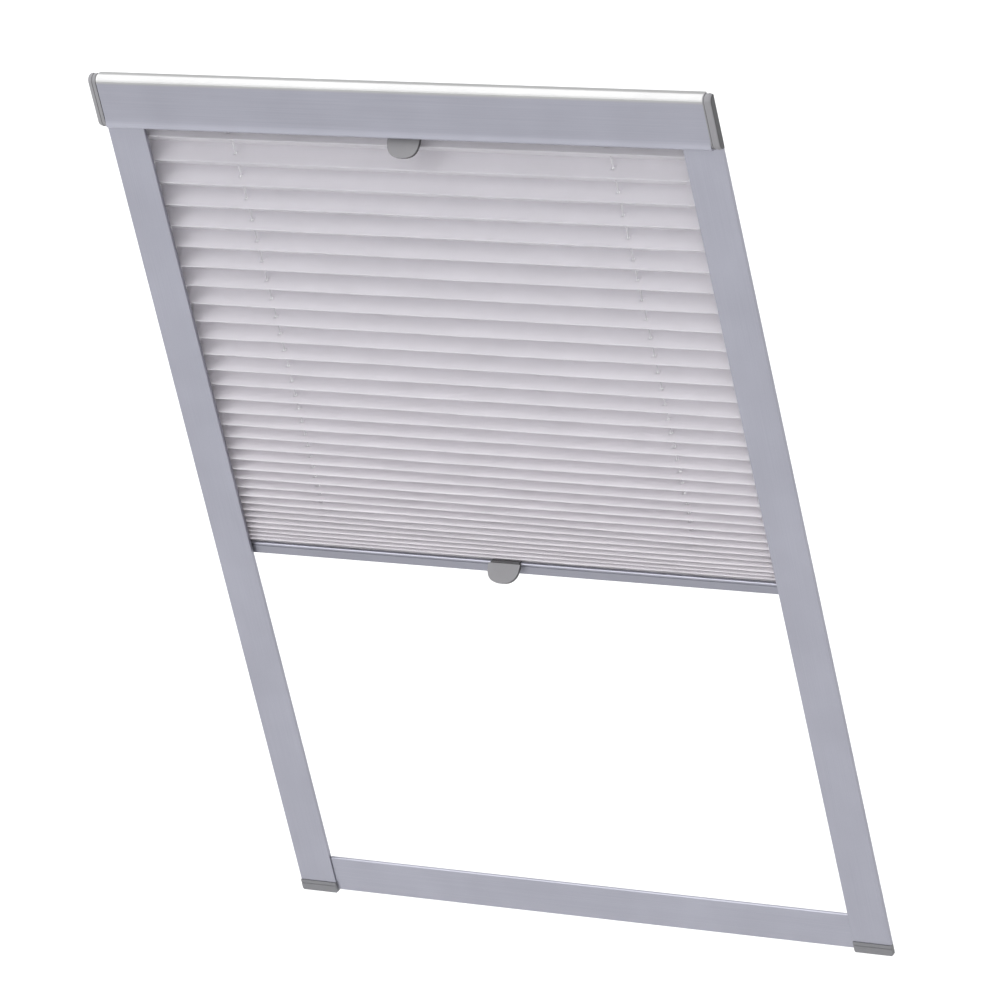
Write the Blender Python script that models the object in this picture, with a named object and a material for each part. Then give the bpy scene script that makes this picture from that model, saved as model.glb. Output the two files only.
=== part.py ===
import math

import bmesh
import bpy
from mathutils import Matrix, Vector
from mathutils.geometry import tessellate_polygon

# Overall sizes, in metres. X runs across the blind, Z up, the room is on the side of -Y.
# Sizes count from the side rails' front and the feet's lowest edge. The finished pieces are
# moved so that the origin lies on the back of the bottom rail's folded edge.
WIDTH = 0.620
CASSETTE_TOP = 0.829
RAIL_FACE = 0.0382
GAP = 0.0003

# Side rail: a flat hollow edge that lies on the sash, a thin flange and a C-shaped channel
WALL = 0.0012
SASH_PLANE = 0.0036
EDGE_BACK_WALL = 0.0009
BOX_WIDTH = 0.013
CHANNEL_BACK = 0.020
CHANNEL_LEG = 0.010
EDGE_LIP = 0.0033
EDGE_ROUND = 0.0008
WEB_HOLE_R = 0.0021
WEB_HOLE_SHARES = (0.16, 0.50, 0.84)
RAIL_DROP = 0.010

# Rail foot
FOOT_HEIGHT = 0.0105
FOOT_PROUD = 0.0008
FOOT_PLUG = 0.026
FOOT_GROOVE_Z = 0.0068

# Bottom rail and its corner brackets
BOTTOM_FRONT = 0.0016
BOTTOM_LOW = 0.0026
BOTTOM_HIGH = 0.0367
BOTTOM_SHELF = 0.0044
BOTTOM_WALL = 0.0009
FOLD_HEIGHT = 0.012
BRACKET_THICK = 0.0012
SET_SCREW_R = 0.0015

# Cassette
HOOD_FRONT = -0.0071
HOOD_BACK = 0.003
HOOD_HEIGHT = 0.0495
HOOD_WALL = 0.0014
NOSE_R = 0.0062
LOW_R = 0.0060
FLARE_PROUD = 0.0007
FLARE_HEIGHT = 0.0100
EDGE_R = 0.0026
EDGE_RETURN = 0.0024
CAP_WIDTH = 0.0082
CAP_OUT = 0.0032
CAP_STEP = -0.0006
CAP_PROUD = 0.0004
BASE_DROP = 0.004
BASE_HEIGHT = 0.028
BASE_WALL = 0.0012
BRACKET_SHARE = 0.645
BRACKET_WIDTH = 0.025
SCREW_R = 0.0015
SCREW_HEAD_R = 0.003

# Moving bars
BAR_FRONT = 0.005
BAR_DEPTH = 0.018
BAR_HEIGHT = 0.010
BAR_WALL = 0.0012
BAR_INSET = 0.028
SLOT_LIP = 0.004
LOWER_BAR_Z = 0.3548
UPPER_BAR_DROP = 0.0035
STRIP_THICK = 0.0012
GLIDER_HEAD = 0.0008
PRONG = 0.012

# Grips
GRIP_R = 0.0163
GRIP_LENGTH = 0.0177
GRIP_THICK = 0.0028
GRIP_FULL = 2.7
GRIP_TILTS = {"lower": math.radians(44), "upper": math.radians(38)}
GRIP_X = -0.0033
GRIP_TAB = 0.0007

# Pleated fabric
PANEL = 0.020
PLEATS = 32
CLOTH_THICK = 0.0003
END_PITCH = 0.15
PITCH_POWER = 1.04
TAB = 0.009
FIRST_DROP = 0.00885
LAST_RISE = 0.00425
HOLE_IN_R = 0.0016

# Cords, springs and anchors
CORD_SHARE = 0.616
CORD_R = 0.0006
CORD_BEND = 0.0025
CORD_DEPTH = 0.0042
CORD_INSET = 0.019
CORD_FOOT = 0.018
SPRING_R = 0.0023
SPRING_WIRE = 0.00035
SPRING_TURNS = 6
SPRING_REACH = 0.004
ANCHOR_HEIGHT = 0.006
FERRULE_RISE = 0.0035
FERRULE_HEIGHT = 0.006

# Sizes that follow from the ones above
HALF = WIDTH / 2
RAIL_TOP = CASSETTE_TOP - RAIL_DROP
HOOD_LOW = CASSETTE_TOP - HOOD_HEIGHT
BASE_HIGH = CASSETTE_TOP - BASE_DROP
BASE_LOW = BASE_HIGH - BASE_HEIGHT
SCREW_Z = BASE_LOW + BASE_HEIGHT / 2
BRACKET_X = BRACKET_SHARE * HALF
CORD_X = CORD_SHARE * HALF
UPPER_BAR_Z = HOOD_LOW - UPPER_BAR_DROP
FERRULE_LOW = UPPER_BAR_Z + BAR_HEIGHT + FERRULE_RISE
FERRULE = (FERRULE_LOW, FERRULE_LOW + FERRULE_HEIGHT)
CORD_TOP = FERRULE_LOW + 0.6 * FERRULE_HEIGHT
ANCHOR_LOW = RAIL_TOP - ANCHOR_HEIGHT
SPRING_LOW = FERRULE[1] + 0.003
SPRING_HIGH = ANCHOR_LOW - SPRING_REACH
BAR_BACK = BAR_FRONT + BAR_DEPTH
CORD_Y = BAR_FRONT + BAR_DEPTH / 2
SIDES = (("left", -1), ("right", 1))
ORIGIN = (0.0, -SASH_PLANE, -(BOTTOM_LOW + FOLD_HEIGHT / 2))
FLANGE_BACK = WALL + 0.0002
WEB_IN = BOX_WIDTH + WALL


def make_material(name, colour, roughness, metallic):
    material = bpy.data.materials.new(name)
    material.use_nodes = True
    shader = material.node_tree.nodes["Principled BSDF"]
    shader.inputs["Base Color"].default_value = (*colour, 1.0)
    shader.inputs["Roughness"].default_value = roughness
    shader.inputs["Metallic"].default_value = metallic
    material.diffuse_color = (*colour, 1.0)
    return material


LOOKS = {
    "anodised": ((0.42, 0.42, 0.46), 0.42, 0.9),
    "bar_metal": ((0.36, 0.36, 0.40), 0.38, 0.9),
    "steel": ((0.48, 0.48, 0.49), 0.35, 1.0),
    "cap_plastic": ((0.36, 0.37, 0.39), 0.5, 0.0),
    "foot_plastic": ((0.24, 0.24, 0.26), 0.5, 0.0),
    "grip_plastic": ((0.26, 0.26, 0.27), 0.45, 0.0),
    "inner_plastic": ((0.12, 0.12, 0.13), 0.55, 0.0),
    "clear_plastic": ((0.70, 0.70, 0.70), 0.4, 0.0),
    "cloth": ((0.72, 0.71, 0.72), 0.9, 0.0),
    "cord": ((0.62, 0.62, 0.63), 0.8, 0.0),
}


def finish(name, mesh, look):
    mesh.name = name
    mesh.transform(Matrix.Translation(ORIGIN))
    made = bpy.data.objects.new(name, mesh)
    bpy.context.scene.collection.objects.link(made)
    made.data.materials.append(make_material(name, *LOOKS[look]))
    return made


def prism(name, outline, span, place, look, holes=()):
    """A closed body: the outline with its holes, swept between the two ends of span."""
    body = bmesh.new()
    edges = []
    for loop in (outline, *holes):
        ring = [body.verts.new(place(u, v, span[0])) for u, v in loop]
        for first, second in zip(ring, ring[1:] + ring[:1]):
            edges.append(body.edges.new((first, second)))
    bmesh.ops.triangle_fill(body, edges=edges, use_beauty=True)
    swept = bmesh.ops.extrude_face_region(body, geom=list(body.faces))
    moved = [v for v in swept["geom"] if isinstance(v, bmesh.types.BMVert)]
    shift = Vector(place(0, 0, span[1])) - Vector(place(0, 0, span[0]))
    bmesh.ops.translate(body, verts=moved, vec=shift)
    bmesh.ops.recalc_face_normals(body, faces=list(body.faces))
    mesh = bpy.data.meshes.new(name)
    body.to_mesh(mesh)
    body.free()
    return finish(name, mesh, look)


def loft(name, loops, look):
    """A closed body through outlines that all have the same number of points."""
    body = bmesh.new()
    rings = [[body.verts.new(p) for p in loop] for loop in loops]
    for low, high in zip(rings, rings[1:]):
        for k in range(len(low)):
            n = (k + 1) % len(low)
            body.faces.new((low[k], low[n], high[n], high[k]))
    for end in (rings[0], rings[-1]):
        edges = [body.edges.get((v, w)) for v, w in zip(end, end[1:] + end[:1])]
        bmesh.ops.triangle_fill(body, edges=edges, use_beauty=True)
    bmesh.ops.recalc_face_normals(body, faces=list(body.faces))
    mesh = bpy.data.meshes.new(name)
    body.to_mesh(mesh)
    body.free()
    return finish(name, mesh, look)


def combine(target, tool, operation):
    """Joins the tool to the target or cuts it out, and removes the tool."""
    step = target.modifiers.new("step", "BOOLEAN")
    step.operation = operation
    step.solver = "EXACT"
    step.object = tool
    graph = bpy.context.evaluated_depsgraph_get()
    result = bpy.data.meshes.new_from_object(target.evaluated_get(graph))
    target.modifiers.remove(step)
    target.data = result
    bpy.data.objects.remove(tool)
    return target


def box(low, high, look="inner_plastic", name="tool"):
    outline = ((low[0], low[1]), (high[0], low[1]), (high[0], high[1]), (low[0], high[1]))
    return prism(name, outline, (low[2], high[2]), lambda u, v, w: (u, v, w), look)


def ring(centre, radius, count, start=0.0):
    turns = [start + 2 * math.pi * i / count for i in range(count)]
    return [(centre[0] + radius * math.cos(t), centre[1] + radius * math.sin(t)) for t in turns]


def arc(centre, radius, start, end, steps):
    turns = [math.radians(start + (end - start) * i / steps) for i in range(steps + 1)]
    return [(centre[0] + radius * math.cos(t), centre[1] + radius * math.sin(t)) for t in turns]


def across(u, v, w):
    """A section in Y and Z, swept along X."""
    return (w, u, v)


def upright(side):
    """A section measured inwards from the rail's outer edge, swept up Z."""
    return lambda u, v, w: (side * (HALF - u), v, w)


def inwards(side):
    """A section in Y and Z, swept inwards from the rail's outer edge."""
    return lambda u, v, w: (side * (HALF - w), u, v)


def facing(side):
    """A section measured inwards and up, swept back along Y."""
    return lambda u, v, w: (side * (HALF - u), w, v)


def sweep(name, points, radius, count, look):
    """One unbroken round tube along the points, with flat ends."""
    path = [Vector(p) for p in points]
    body = bmesh.new()
    previous = (path[1] - path[0]).normalized()
    normal = previous.orthogonal().normalized()
    rings = []
    for index, point in enumerate(path):
        before = (point - path[index - 1]).normalized() if index else previous
        after = (path[index + 1] - point).normalized() if index + 1 < len(path) else before
        tangent = (before + after).normalized()
        turn = previous.rotation_difference(tangent)
        normal = (turn @ normal).normalized()
        normal = (normal - tangent * normal.dot(tangent)).normalized()
        side = tangent.cross(normal)
        stretch = 1 / max(0.3, before.dot(tangent))
        bend = before.cross(after)
        ring_points = []
        for k in range(count):
            angle = 2 * math.pi * k / count
            offset = radius * (math.cos(angle) * normal + math.sin(angle) * side)
            if bend.length > 1e-6:
                across_bend = tangent.cross(bend.normalized())
                offset += across_bend * offset.dot(across_bend) * (stretch - 1)
            ring_points.append(body.verts.new(point + offset))
        rings.append(ring_points)
        previous = tangent
    for low, high in zip(rings, rings[1:]):
        for k in range(count):
            body.faces.new((low[k], low[(k + 1) % count], high[(k + 1) % count], high[k]))
    body.faces.new(rings[0][::-1])
    body.faces.new(rings[-1])
    bmesh.ops.recalc_face_normals(body, faces=list(body.faces))
    mesh = bpy.data.meshes.new(name)
    body.to_mesh(mesh)
    body.free()
    made = finish(name, mesh, look)
    for face in made.data.polygons:
        face.use_smooth = len(face.vertices) == 4
    return made


# Start from an empty file
for old in list(bpy.data.objects):
    bpy.data.objects.remove(old)


# Side rails
def build_rail(name, side):
    inner = WEB_IN
    outline = (
        arc((EDGE_ROUND, EDGE_ROUND), EDGE_ROUND, 180, 270, 3)
        + arc((RAIL_FACE - EDGE_ROUND, EDGE_ROUND), EDGE_ROUND, 270, 360, 3)
        + [
            (RAIL_FACE, EDGE_LIP),
            (RAIL_FACE - WALL, EDGE_LIP),
            (RAIL_FACE - WALL, FLANGE_BACK),
            (inner, FLANGE_BACK),
            (inner, CHANNEL_BACK - WALL),
            (BOX_WIDTH + CHANNEL_LEG, CHANNEL_BACK - WALL),
            (BOX_WIDTH + CHANNEL_LEG, CHANNEL_BACK),
            (BOX_WIDTH, CHANNEL_BACK),
            (BOX_WIDTH, SASH_PLANE),
            (0, SASH_PLANE),
        ]
    )
    chamber = (
        (WALL, FLANGE_BACK),
        (BOX_WIDTH - WALL, FLANGE_BACK),
        (BOX_WIDTH - WALL, SASH_PLANE - EDGE_BACK_WALL),
        (WALL, SASH_PLANE - EDGE_BACK_WALL),
    )
    span = (FOOT_HEIGHT + GAP, RAIL_TOP)
    rail = prism(name, outline, span, upright(side), "anodised", [chamber])
    middle = (SASH_PLANE + CHANNEL_BACK) / 2
    for share in WEB_HOLE_SHARES:
        hole = ring((middle, share * RAIL_TOP), WEB_HOLE_R, 8, math.pi / 8)
        reach = (BOX_WIDTH - WALL, WEB_IN + WALL)
        combine(rail, prism("tool", hole, reach, inwards(side), "steel"), "DIFFERENCE")
    hole = ring((BASE_SCREW_IN, SCREW_Z), SCREW_R + GAP, 8, math.pi / 8)
    tool = prism("tool", hole, (-WALL, FLANGE_BACK + WALL), facing(side), "steel")
    return combine(rail, tool, "DIFFERENCE")


BASE_SCREW_IN = (WEB_IN + RAIL_FACE) / 2
PLUG_SPAN = (WEB_IN + 0.0004, BOX_WIDTH + CHANNEL_LEG - 0.0004)
PLUG_DEPTH = (FLANGE_BACK + 0.0004, CHANNEL_BACK - WALL - 0.0004)


# Rail feet: a front block, a plug in the hollow edge and a plug in the channel that holds the cord
def build_foot(name, side):
    curve = 0.0016
    block = (
        arc((curve, curve), curve, 180, 270, 3)
        + arc((RAIL_FACE - curve, curve), curve, 270, 360, 3)
        + [(RAIL_FACE, FOOT_HEIGHT), (0, FOOT_HEIGHT)]
    )
    foot = prism(name, block, (-FOOT_PROUD, SASH_PLANE), facing(side), "foot_plastic")
    low, high = FOOT_GROOVE_Z, FOOT_GROOVE_Z + 0.0006
    groove = ((-0.001, low), (RAIL_FACE + 0.001, low), (RAIL_FACE + 0.001, high), (-0.001, high))
    tool = prism("tool", groove, (-0.002, 0.0004 - FOOT_PROUD), facing(side), "steel")
    combine(foot, tool, "DIFFERENCE")
    back = (
        (BOX_WIDTH, 0.003),
        (BOX_WIDTH + CHANNEL_LEG, 0.003),
        (BOX_WIDTH + CHANNEL_LEG, CHANNEL_BACK),
        (BOX_WIDTH, CHANNEL_BACK),
    )
    combine(foot, prism("tool", back, (0.003, FOOT_HEIGHT), upright(side), "steel"), "UNION")
    plugs = (
        ((WALL + GAP, BOX_WIDTH - WALL - GAP), (FLANGE_BACK + GAP, SASH_PLANE - EDGE_BACK_WALL - GAP)),
        (PLUG_SPAN, PLUG_DEPTH),
    )
    for (u0, u1), (v0, v1) in plugs:
        section = ((u0, v0), (u1, v0), (u1, v1), (u0, v1))
        span = (FOOT_HEIGHT - 0.002, FOOT_PLUG)
        combine(foot, prism("tool", section, span, upright(side), "steel"), "UNION")
    bore = ring((CORD_INSET, CORD_Y), CORD_R + 0.0004, 6)
    span = (CORD_FOOT - 0.002, FOOT_PLUG + 0.002)
    return combine(foot, prism("tool", bore, span, upright(side), "steel"), "DIFFERENCE")


# Bottom rail: a face with a shelf on top and a folded edge that lies on the sash
def build_bottom_rail():
    back = SASH_PLANE
    front = BOTTOM_FRONT
    wall = BOTTOM_WALL
    section = (
        arc((front + 0.0008, BOTTOM_LOW + 0.0008), 0.0008, 180, 270, 2)
        + [
            (back, BOTTOM_LOW),
            (back, BOTTOM_LOW + FOLD_HEIGHT),
            (back - wall, BOTTOM_LOW + FOLD_HEIGHT),
            (back - wall, BOTTOM_LOW + wall),
            (front + wall, BOTTOM_LOW + wall),
            (front + wall, BOTTOM_HIGH - wall),
            (BOTTOM_SHELF, BOTTOM_HIGH - wall),
            (BOTTOM_SHELF, BOTTOM_HIGH),
        ]
        + arc((front + 0.001, BOTTOM_HIGH - 0.001), 0.001, 90, 180, 3)
    )
    reach = HALF - RAIL_FACE - GAP
    return prism("bottom_rail", section, (-reach, reach), across, "anodised")


# Corner brackets behind the faces of side rail and bottom rail, with two set screws each
def build_corner(label, side):
    front = EDGE_LIP + GAP
    back = front + BRACKET_THICK
    left = BOX_WIDTH + CHANNEL_LEG + 0.001
    right = RAIL_FACE - 0.003
    low = BOTTOM_LOW + 0.014
    high = BOTTOM_HIGH - 0.004
    tall = BOTTOM_HIGH + 0.003
    wide = RAIL_FACE + 0.035
    outline = (
        (left, FOOT_HEIGHT + 0.002),
        (right, FOOT_HEIGHT + 0.002),
        (right, low),
        (wide, low),
        (wide, high),
        (right, high),
        (right, tall),
        (left, tall),
    )
    spots = (((left + right) / 2, tall - 0.008), (wide - 0.012, (low + high) / 2))
    holes = [ring(spot, SET_SCREW_R + GAP, 8, math.pi / 8) for spot in spots]
    name = "corner_bracket_" + label
    prism(name, outline, (front, back), facing(side), "steel", holes)
    starts = (FLANGE_BACK + GAP, BOTTOM_FRONT + BOTTOM_WALL + GAP)
    for index, (spot, start) in enumerate(zip(spots, starts)):
        name = "set_screw_%s_%d" % (label, index + 1)
        screw = ring(spot, SET_SCREW_R, 8, math.pi / 8)
        made = prism(name, screw, (start, back + 0.0005), facing(side), "steel")
        socket = ring(spot, SET_SCREW_R * 0.5, 6)
        tool = prism("tool", socket, (back, back + 0.003), facing(side), "steel")
        combine(made, tool, "DIFFERENCE")


# Cassette hood: flared lower edge with a short return, flat front, rounded nose and top
def hood_outline(grow):
    front = HOOD_FRONT - grow
    top = CASSETTE_TOP + grow
    nose = NOSE_R + grow
    curve = arc((front + nose, top - nose), nose, 180, 90, 7)
    return front, top, curve


def hood_underside(grow):
    """The lower edge, from the end of its return to the top of the flare."""
    centre = (HOOD_FRONT - FLARE_PROUD + EDGE_R, HOOD_LOW + EDGE_R)
    curve = arc(centre, EDGE_R + grow, 270, 180, 4)
    end = (centre[0] + EDGE_RETURN, HOOD_LOW - grow)
    return [end] + curve + [(HOOD_FRONT - grow, HOOD_LOW + FLARE_HEIGHT)]


def build_hood():
    front, top, outer = hood_outline(0)
    _, _, inner = hood_outline(-HOOD_WALL)
    under = hood_underside(0)
    inside = hood_underside(-HOOD_WALL)
    rib = BASE_LOW + BASE_WALL + GAP
    section = (
        under
        + outer
        + [(HOOD_BACK, top), (HOOD_BACK, top - HOOD_WALL)]
        + [(front + 0.0066, top - HOOD_WALL), (front + 0.0066, BASE_HIGH + GAP)]
        + [(front + 0.0054, BASE_HIGH + GAP), (front + 0.0054, top - HOOD_WALL - 0.0009)]
        + [p for p in reversed(inner) if p[0] < front + 0.0050]
        + [(front + HOOD_WALL, rib + 0.0012), (front + HOOD_WALL + 0.002, rib + 0.0012)]
        + [(front + HOOD_WALL + 0.002, rib), (front + HOOD_WALL, rib)]
        + inside[::-1]
    )
    reach = HALF + CAP_OUT - CAP_WIDTH - GAP
    return prism("cassette_hood", section, (-reach, reach), across, "anodised")


# Cassette base: a C profile screwed to the rails and to the two mounting brackets
def build_base():
    front = HOOD_FRONT + HOOD_WALL + GAP
    back = -GAP
    section = (
        (back, BASE_LOW),
        (back, BASE_HIGH),
        (front + 0.0035, BASE_HIGH),
        (front + 0.0035, BASE_HIGH - BASE_WALL),
        (back - BASE_WALL, BASE_HIGH - BASE_WALL),
        (back - BASE_WALL, BASE_LOW + BASE_WALL),
        (front, BASE_LOW + BASE_WALL),
        (front, BASE_LOW),
    )
    reach = HALF + CAP_OUT - CAP_WIDTH - 0.001
    base = prism("cassette_base", section, (-reach, reach), across, "anodised")
    spots = [s * (HALF - BASE_SCREW_IN) for _, s in SIDES] + [s * BRACKET_X for _, s in SIDES]
    for x in spots:
        hole = ring((x, SCREW_Z), SCREW_R + GAP, 8, math.pi / 8)
        span = (back - BASE_WALL * 2, back + BASE_WALL)
        combine(base, prism("tool", hole, span, lambda u, v, w: (u, w, v), "steel"), "DIFFERENCE")
    return base


def build_screw(name, x, end):
    """A pan-head screw from inside the base, backwards to the given depth."""
    start = -GAP - BASE_WALL - GAP
    place = lambda u, v, w: (u, w, v)
    head = ring((x, SCREW_Z), SCREW_HEAD_R, 12)
    made = prism(name, head, (start - 0.0018, start), place, "steel")
    shank = ring((x, SCREW_Z), SCREW_R, 8, math.pi / 8)
    combine(made, prism("tool", shank, (start - 0.0004, end), place, "steel"), "UNION")
    slot = []
    for turn in range(4):
        spin = math.pi / 2 * turn
        for u, v in ((0.0003, 0.0003), (0.0017, 0.0003), (0.0017, -0.0003)):
            slot.append((u, v, spin))
    c, z = math.cos, SCREW_Z
    slot = [(x + u * c(t) + v * math.sin(t), z - u * math.sin(t) + v * c(t)) for u, v, t in slot]
    tool = prism("tool", slot, (start - 0.003, start - 0.0009), place, "steel")
    return combine(made, tool, "DIFFERENCE")


# Mounting brackets behind the base, with a hole for the screw into the sash
def build_mounting_bracket(label, side):
    thick = BASE_WALL
    low = HOOD_LOW + 0.008
    section = (
        (0, SCREW_Z - 0.009),
        (thick, SCREW_Z - 0.009),
        (thick, SCREW_Z + 0.009 - thick),
        (SASH_PLANE - thick, SCREW_Z + 0.009 - thick),
        (SASH_PLANE - thick, low),
        (SASH_PLANE, low),
        (SASH_PLANE, SCREW_Z + 0.009),
        (0, SCREW_Z + 0.009),
    )
    x = side * BRACKET_X
    span = (x - BRACKET_WIDTH / 2, x + BRACKET_WIDTH / 2)
    made = prism("mounting_bracket_" + label, section, span, across, "steel")
    cuts = (
        (ring((x, SCREW_Z), SCREW_R + GAP, 8, math.pi / 8), (-thick, 2 * thick)),
        (ring((x, low + 0.005), 0.0022, 8, math.pi / 8), (SASH_PLANE - 2 * thick, SASH_PLANE + thick)),
    )
    for hole, reach in cuts:
        combine(made, prism("tool", hole, reach, lambda u, v, w: (u, w, v), "steel"), "DIFFERENCE")
    return made


# Cassette end caps: an outer wall that ends short of the back, a rim in two steps and a tongue
def cap_loop(grow, back):
    front, top, outer = hood_outline(grow)
    low = HOOD_LOW - grow
    nose = NOSE_R + grow
    if back < front + nose:
        end = math.degrees(math.acos((back - front - nose) / nose))
        outer = arc((front + nose, top - nose), nose, 180, end, 8)
    else:
        outer = outer + [(back, top)]
    middle = front + LOW_R + grow
    centre = (middle, low + LOW_R + grow)
    if back < middle:
        start = 180 + math.degrees(math.acos((middle - back) / (LOW_R + grow)))
        under = arc(centre, LOW_R + grow, start, 180, 7)
    else:
        under = [(back, low)] + arc(centre, LOW_R + grow, 270, 180, 6)
    return under + outer


def build_cap(label, side):
    back = -GAP
    wall = 0.0016
    hollow = 0.0014
    place = inwards(side)
    rim_end = CAP_WIDTH - CAP_OUT
    steps = (
        (-CAP_OUT, -0.0010, CAP_STEP),
        (0.0004 - CAP_OUT, -0.0003, CAP_STEP),
        (0.0012 - CAP_OUT, 0.0, CAP_STEP),
        (-0.0003, CAP_PROUD, CAP_STEP),
        (0.0, CAP_PROUD, back),
        (0.0010, CAP_PROUD, back),
        (0.0014, 0.0, back),
        (rim_end - 0.0014, 0.0, back),
        (rim_end - 0.0010, CAP_PROUD, back),
        (rim_end, CAP_PROUD, back),
    )
    loops = [[place(*p, reach) for p in cap_loop(grow, rear)] for reach, grow, rear in steps]
    cap = loft("cassette_cap_" + label, loops, "cap_plastic")
    inner = cap_loop(-wall, back + 0.002)
    tool = prism("tool", inner, (hollow, rim_end + 0.002), place, "steel")
    combine(cap, tool, "DIFFERENCE")
    front = HOOD_FRONT + HOOD_WALL + GAP
    low = HOOD_LOW + LOW_R + 0.0010
    high = BASE_LOW - GAP
    tongue = ((front, low), (front + 0.0012, low), (front + 0.0012, high), (front, high))
    tool = prism("tool", tongue, (hollow - 0.0008, rim_end + 0.010), place, "steel")
    return combine(cap, tool, "UNION")


# Moving bars, their strips, gliders and grips. Level turns the section over for the upper bar.
def bar_level(z, up):
    if up:
        return lambda v: z + v
    return lambda v: z + BAR_HEIGHT - v


def build_bar(label, z, up):
    level = bar_level(z, up)
    f, b, h, w = BAR_FRONT, BAR_BACK, BAR_HEIGHT, BAR_WALL
    section = [
        (f, 0),
        (b, 0),
        (b, h),
        (b - SLOT_LIP, h),
        (b - SLOT_LIP, h - w),
        (b - w, h - w),
        (b - w, w),
        (f + w, w),
        (f + w, h - w),
        (f + SLOT_LIP, h - w),
        (f + SLOT_LIP, h),
        (f + 0.0006, h),
        (f, h - 0.0006),
        (f, h - 0.0016),
        (f + 0.0005, h - 0.0018),
        (f + 0.0005, h - 0.0026),
        (f, h - 0.0028),
    ]
    reach = HALF - BAR_INSET
    outline = [(y, level(v)) for y, v in section]
    prism(label + "_bar", outline, (-reach, reach), across, "bar_metal")

    base_top = h - w - GAP
    neck = (f + SLOT_LIP + GAP, b - SLOT_LIP - GAP)
    foot = (f + w + 0.0008, b - w - 0.0008)
    section = (
        (foot[0], base_top - STRIP_THICK),
        (foot[1], base_top - STRIP_THICK),
        (foot[1], base_top),
        (neck[1], base_top),
        (neck[1], h),
        (neck[0], h),
        (neck[0], base_top),
        (foot[0], base_top),
    )
    outline = [(y, level(v)) for y, v in section]
    strip = prism(label + "_fabric_strip", outline, (-reach, reach), across, "clear_plastic")
    for _, side in SIDES:
        size = CORD_R + 0.0007
        ends = sorted((level(h + 0.002), level(w)))
        low = (side * CORD_X - size, CORD_Y - size, ends[0])
        high = (side * CORD_X + size, CORD_Y + size, ends[1])
        combine(strip, box(low, high), "DIFFERENCE")

    for side_name, side in SIDES:
        head = (WEB_IN + GLIDER_HEAD, BOX_WIDTH + CHANNEL_LEG + GLIDER_HEAD * 0.5)
        collar = BAR_INSET - GAP
        slot = (CORD_Y - 0.0016, CORD_Y + 0.0016)
        end = CORD_INSET - CORD_R - 0.001
        outline = (
            (head[0], PLUG_DEPTH[0]),
            (head[1] - 0.0008, PLUG_DEPTH[0]),
            (head[1] - 0.0008, f),
            (collar, f),
            (collar, slot[0]),
            (end, slot[0]),
            (end, slot[1]),
            (collar, slot[1]),
            (collar, b),
            (head[1] + 0.0004, b),
            (head[1] + 0.0004, PLUG_DEPTH[1]),
            (head[0], PLUG_DEPTH[1]),
        )
        name = "%s_bar_glider_%s" % (label, side_name)
        glider = prism(name, outline, (z, z + h), upright(side), "inner_plastic")
        ends = sorted((level(w + GAP), level(base_top - STRIP_THICK - GAP)))
        for y0, y1 in ((f + w + GAP, slot[0] - 0.0003), (slot[1] + 0.0003, b - w - GAP)):
            u0, u1 = collar - 0.002, collar + PRONG
            prong = ((u0, y0), (u1, y0), (u1, y1), (u0, y1))
            tool = prism("tool", prong, ends, upright(side), "steel")
            combine(glider, tool, "UNION")

    build_grip(label, z + h if up else z)


def build_grip(label, root):
    """A rounded plate that leans out into the room, with a tab over the edge of the bar's front lip."""
    tilt = GRIP_TILTS[label]
    lean = Vector((-math.sin(tilt), -math.cos(tilt)))
    out = Vector((-math.cos(tilt), math.sin(tilt)))
    count = 18
    shape = [(-GRIP_R, 0.0), (GRIP_R, 0.0)]
    for i in range(1, count):
        turn = math.pi * i / count
        u = math.copysign(abs(math.cos(turn)) ** (2 / GRIP_FULL), math.cos(turn))
        shape.append((GRIP_R * u, GRIP_LENGTH * math.sin(turn) ** (2 / GRIP_FULL)))
    start_y = BAR_FRONT - GAP - 0.0004
    if label == "lower":
        tab_low, start_z = root + GAP, root - 0.0014
        leg_low, leg_high = start_z - 0.0008, tab_low + GRIP_TAB
    else:
        tab_low, start_z = root - GAP - GRIP_TAB, root - 0.0009
        leg_low, leg_high = tab_low, tab_low + GRIP_TAB

    def place(u, v, w):
        y = start_y + lean.x * v + out.x * w
        z = start_z + lean.y * v + out.y * w
        return (GRIP_X + u, y, z)

    grip = prism(label + "_bar_grip", shape, (0.0, GRIP_THICK), place, "grip_plastic")
    left, right = GRIP_X - GRIP_R * 0.9, GRIP_X + GRIP_R * 0.9
    front = start_y - 0.0011
    leg = box((left, front, leg_low), (right, BAR_FRONT - GAP, leg_high))
    tab = box((left, front, tab_low), (right, start_y + GAP + 0.0034, tab_low + GRIP_TAB))
    if label == "lower":
        tab = combine(tab, leg, "UNION")
    else:
        bpy.data.objects.remove(leg)
    return combine(grip, tab, "UNION")


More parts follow.
